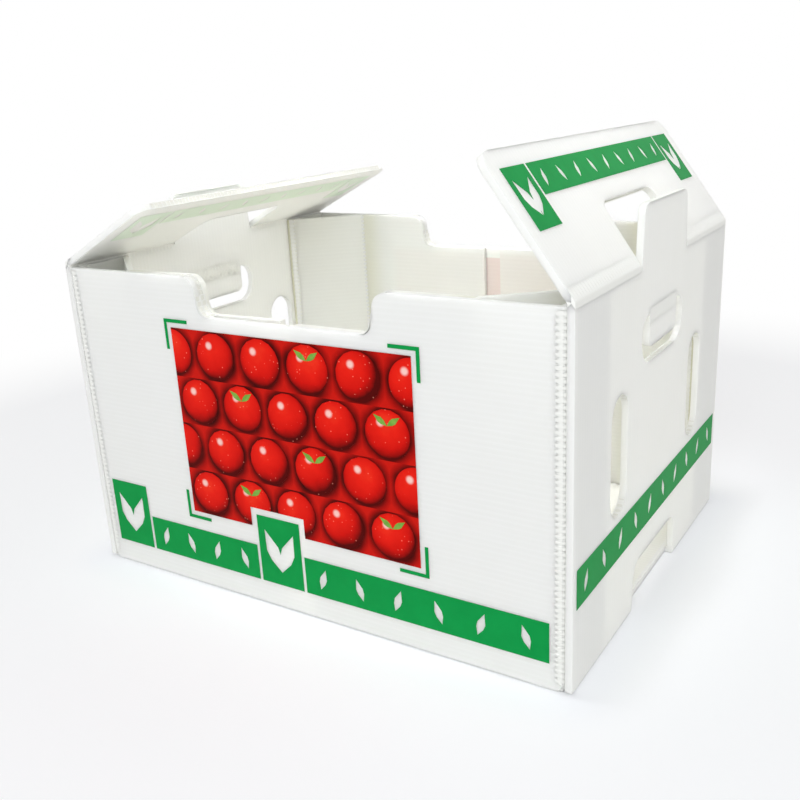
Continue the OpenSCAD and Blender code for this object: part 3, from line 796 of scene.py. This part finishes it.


# Painted light: a pale copy of the lid's print on the underside, for the print as light carries it through
# the two skins
def paintedShowThroughPrint(side):
    mesh = nodes[side + "_lid_print"].data.copy()
    work = bmesh.new()
    work.from_mesh(mesh)
    bmesh.ops.remove_doubles(work, verts=work.verts, dist=0.001 * mm)
    bmesh.ops.translate(work, verts=work.verts, vec=lidWay(side, 0, -board["thick"] - 0.17) * mm)
    work.to_mesh(mesh)
    work.free()
    mesh.materials.clear()
    mesh.materials.append(paintedShowThroughInk)
    made = bpy.data.objects.new(side + "LidGhostPrint", mesh)
    bpy.context.scene.collection.objects.link(made)
    rideBoard(made, side + "_lid")


for side in ("left", "right"):
    paintedShowThroughPrint(side)

print("floor, light and camera")

studio = {
    "floorSize": 14.0, "worldLight": 0.69, "keyPower": 10.4, "topPower": 0.38,
    "air": (1.0, 0.994, 0.965, 1.0), "keyColour": (0.9, 0.955, 1.0),  # warm room, cooler key
    # the paper glows white, painted light, from the first to the second distance, in mm: beside the box up
    # to paperGlow, and far from the middle in full
    "paperGlow": 0.5, "besideBox": (1.0, 40.0), "farOut": (330.0, 900.0),
}


def makeFloor():
    mesh = bpy.data.meshes.new("studioFloor")
    half = studio["floorSize"] / 2
    level = -0.2 * mm
    square = [(-half, -half, level), (half, -half, level), (half, half, level), (-half, half, level)]
    mesh.from_pydata(square, [], [(0, 1, 2, 3)])
    floor = bpy.data.objects.new("studioFloor", mesh)
    bpy.context.scene.collection.objects.link(floor)
    material, tree = newMaterial("paperSweep")
    place, x, y, z = places(tree)
    away = addNode(tree, "ShaderNodeVectorMath", {0: place}, operation="LENGTH").outputs["Value"]
    (boxFrom, boxTo), (farFrom, farTo) = studio["besideBox"], studio["farOut"]
    far = addNode(tree, "ShaderNodeMapRange", {0: away, 1: farFrom, 2: farTo, 3: 0.0, 4: 1.0},
                  interpolation_type="SMOOTHSTEP").outputs[0]
    seen = addNode(tree, "ShaderNodeLightPath").outputs["Is Camera Ray"]
    tone = mixColour(tree, seen, linear("#f6f6f6"), linear("#f9faff"))
    paper = addNode(tree, "ShaderNodeBsdfDiffuse", {"Color": tone})
    white = addNode(tree, "ShaderNodeEmission", {"Color": (1, 1, 1, 1), "Strength": 1.0})
    overX = calc(tree, "SUBTRACT", calc(tree, "ABSOLUTE", x), board["halfLength"])
    overY = calc(tree, "SUBTRACT", calc(tree, "ABSOLUTE", y), board["halfWidth"])
    beside = reach(tree, calc(tree, "MAXIMUM", overX, 0.0), calc(tree, "MAXIMUM", overY, 0.0))
    # painted light: an emission share that grows outwards from the box lightens the floor, so the box's
    # shadow stays full only next to it
    clear = addNode(tree, "ShaderNodeMapRange", {
        0: beside, 1: boxFrom, 2: boxTo, 3: 0.0, 4: studio["paperGlow"]},
        interpolation_type="SMOOTHSTEP").outputs[0]
    share = calc(tree, "MULTIPLY", calc(tree, "MAXIMUM", clear, far), seen)
    finishMaterial(tree, addNode(tree, "ShaderNodeMixShader", {
        0: share, 1: paper.outputs[0], 2: white.outputs[0]}))
    mesh.materials.append(material)


makeFloor()
world = bpy.data.worlds.new("studioWorld")
bpy.context.scene.world = world
world.use_nodes = True
tree = world.node_tree
tree.nodes.clear()
path = addNode(tree, "ShaderNodeLightPath")
mirrored = calc(tree, "MAXIMUM", path.outputs["Is Glossy Ray"], path.outputs["Is Transmission Ray"])
seen = calc(tree, "MAXIMUM", path.outputs["Is Camera Ray"], mirrored)
strength = addNode(tree, "ShaderNodeMix", {0: seen, 2: studio["worldLight"], 3: 1.0},
                   data_type="FLOAT").outputs[0]
air = mixColour(tree, seen, studio["air"], (1, 1, 1, 1))
background = addNode(tree, "ShaderNodeBackground", {"Color": air, "Strength": strength})
addNode(tree, "ShaderNodeOutputWorld", {"Surface": background.outputs[0]})


def softbox(name, place, aim, size, power, spread=180.0, colour=(1, 1, 1)):
    light = bpy.data.lights.new(name, "AREA")
    light.shape = "RECTANGLE"
    light.size, light.size_y = size
    light.energy = power
    light.spread = math.radians(spread)
    light.color = colour
    lamp = bpy.data.objects.new(name, light)
    lamp.location = place
    lamp.rotation_euler = (Vector(aim) - Vector(place)).to_track_quat("-Z", "Y").to_euler()
    lamp.visible_camera = False
    bpy.context.scene.collection.objects.link(lamp)


softbox("keySoftbox", (0.6, -1.4, 1.1), (0.05, 0, 0.12), (0.9, 0.7), studio["keyPower"],
        colour=studio["keyColour"])
# a grid keeps this one off the floor
softbox("topSoftbox", (-0.1, -0.1, 1.6), (-0.02, 0.035, 0.15), (0.25, 0.2), studio["topPower"], 20.0)

camera = {"azimuth": 33.03, "elevation": 18.39, "roll": -3.08,
          "place": (0.3777, -0.5992, 0.3492), "focal": 928.0 / 800 * 36}


def makeCamera():
    az, el, roll = (math.radians(camera[k]) for k in ("azimuth", "elevation", "roll"))
    ahead = Vector((-math.sin(az) * math.cos(el), math.cos(az) * math.cos(el), -math.sin(el)))
    level = Vector((math.cos(az), math.sin(az), 0))
    over = level.cross(ahead)
    right = math.cos(roll) * level + math.sin(roll) * over
    up = -math.sin(roll) * level + math.cos(roll) * over
    data = bpy.data.cameras.new("photoCamera")
    data.sensor_width, data.sensor_fit, data.lens = 36.0, "HORIZONTAL", camera["focal"]
    data.clip_start, data.clip_end = 0.01, 60.0
    made = bpy.data.objects.new("photoCamera", data)
    turned = Matrix((right, up, -ahead)).transposed().to_4x4()
    made.matrix_world = Matrix.Translation(camera["place"]) @ turned
    bpy.context.scene.collection.objects.link(made)
    bpy.context.scene.camera = made


makeCamera()
bpy.context.scene.view_settings.view_transform = "Standard"
